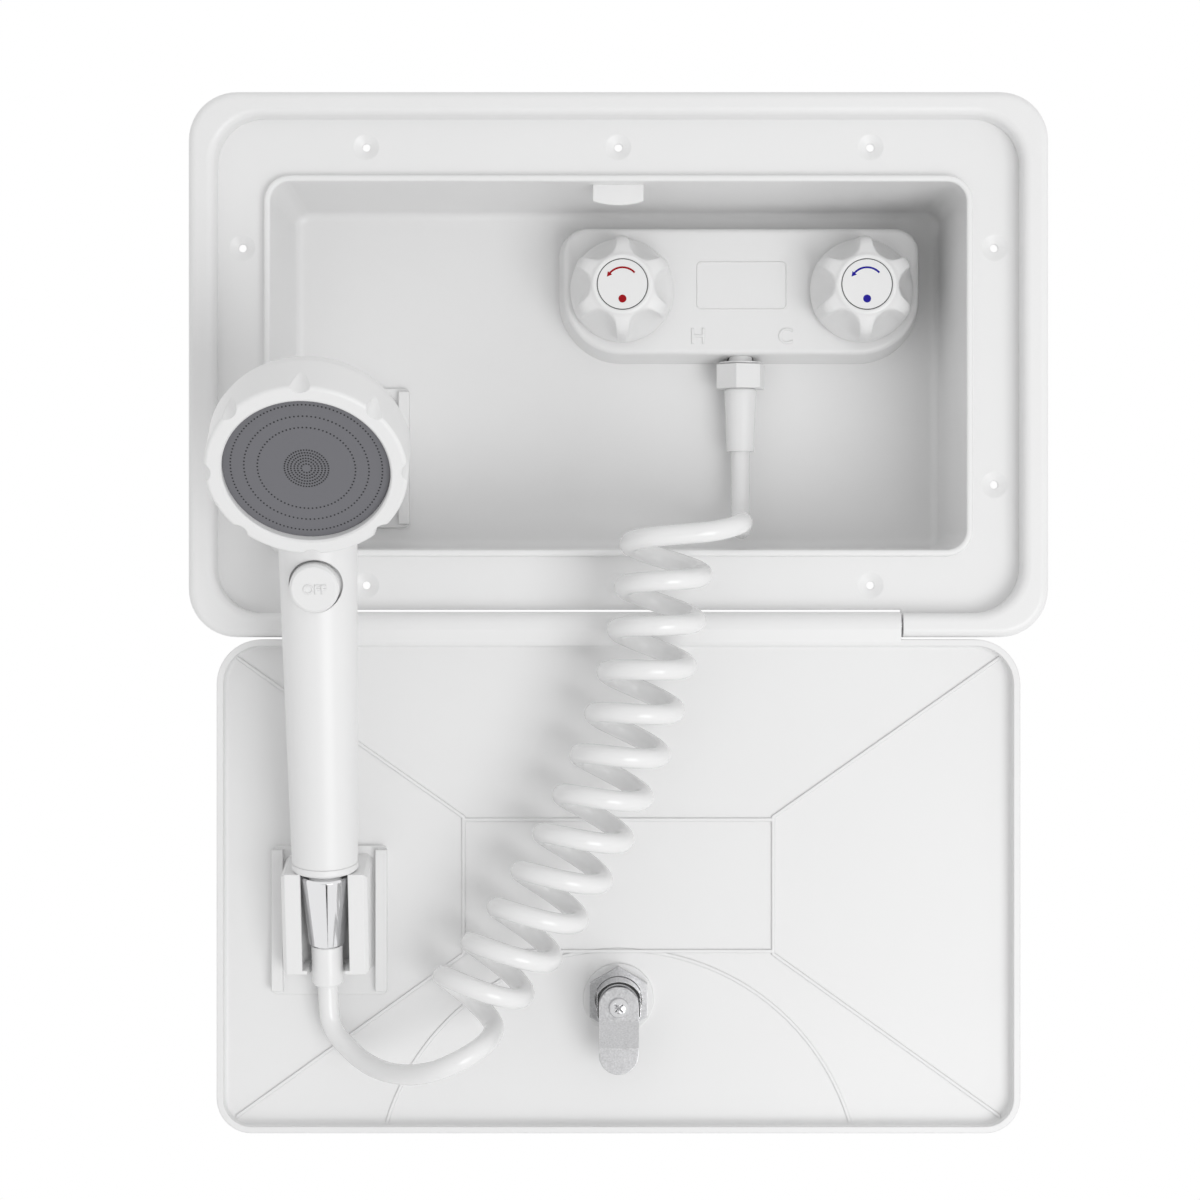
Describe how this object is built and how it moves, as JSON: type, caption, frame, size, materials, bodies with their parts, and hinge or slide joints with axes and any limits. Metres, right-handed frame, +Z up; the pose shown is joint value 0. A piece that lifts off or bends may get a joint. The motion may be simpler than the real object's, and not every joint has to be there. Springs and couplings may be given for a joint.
{
  "type": "exterior shower box",
  "caption": "White recessed exterior shower box, its door hanging open, with a two-knob valve and a handset on a coiled hose.",
  "frame": {"origin": "centre of the flange's screw pattern, on the back plane of the flange where it meets the vehicle wall", "axes": "+X to the right, +Y into the wall, +Z up"},
  "size_m": [0.3458, 0.2271, 0.4187],
  "materials": {
    "white_plastic": "satin moulded white",
    "white_hose": "smooth white vinyl",
    "grey_plastic": "fine matt grey",
    "black_rubber": "matt",
    "chrome": "polished",
    "brass": "machined",
    "zinc": "brushed zinc plate",
    "steel": "bright zinc plate"
  },
  "bodies": {
    "box": {"housing": "white_plastic", "hinge_rod": "steel", "escutcheon": "white_plastic", "valve_manifold": "white_plastic", "hot_cartridge": "brass", "cold_cartridge": "brass", "hot_washer": "black_rubber", "cold_washer": "black_rubber", "hot_lock_nut": "brass", "cold_lock_nut": "brass", "hose_nut": "white_plastic", "hose_washer": "black_rubber", "upper_sleeve": "white_hose", "hose_drop": "white_hose", "hose_coil": "white_hose", "stow_holder_rails": "white_plastic", "stow_holder_cradle": "white_plastic"},
    "door": {"door_panel": "white_plastic", "lock_barrel": "chrome", "lock_nut": "zinc", "door_holder_rails": "white_plastic", "door_holder_cradle": "white_plastic"},
    "lock": {"lock_plug": "chrome", "lock_cam": "zinc", "cam_screw": "steel"},
    "hot_tap": {"hot_stem": "brass", "hot_knob": "white_plastic", "hot_screw": "steel", "hot_index": "white_plastic"},
    "cold_tap": {"cold_stem": "brass", "cold_knob": "white_plastic", "cold_screw": "steel", "cold_index": "white_plastic"},
    "handset": {"handset_body": "white_plastic", "handle_collar": "white_plastic", "cone_nut": "chrome", "cone_washer": "black_rubber", "lower_sleeve": "white_hose", "spray_core": "white_plastic", "spray_seal": "black_rubber", "hose_tail": "white_hose"},
    "spray_ring": {"head_ring": "white_plastic", "spray_face": "grey_plastic"},
    "button": {"pause_button": "white_plastic"}
  },
  "joints": [
    {"name": "door_hinge", "type": "hinge", "parent": "box", "child": "door", "pos_m": [0, -0.0089, -0.1049], "axis": [-1, 0, 0], "range_deg": [0, 30], "deforming": ["hose_coil", "hose_tail"]},
    {"name": "handset_lift", "type": "slide", "parent": "door", "child": "handset", "axis": [0, -0.225, 0.9744], "range_m": [0, 0.045], "deforming": ["hose_coil", "hose_tail"]},
    {"name": "hot_turn", "type": "hinge", "parent": "box", "child": "hot_tap", "pos_m": [0.0019, 0.0535, 0.0365], "axis": [0, -1, 0], "range_deg": [0, 180]},
    {"name": "cold_turn", "type": "hinge", "parent": "box", "child": "cold_tap", "pos_m": [0.1035, 0.0535, 0.0365], "axis": [0, -1, 0], "range_deg": [0, 180]},
    {"name": "lock_turn", "type": "hinge", "parent": "door", "child": "lock", "pos_m": [0, -0.0316, -0.2556], "axis": [0, -1, 0], "range_deg": [0, 90]},
    {"name": "spray_turn", "type": "hinge", "parent": "handset", "child": "spray_ring", "pos_m": [-0.1164, -0.10255, -0.04766], "axis": [0, -0.7955, -0.606], "range_deg": [0, 90]},
    {"name": "pause_press", "type": "slide", "parent": "handset", "child": "button", "axis": [0, 0.9744, 0.225], "range_m": [0, 0.0025], "stiffness_N_per_m": 600}
  ]
}
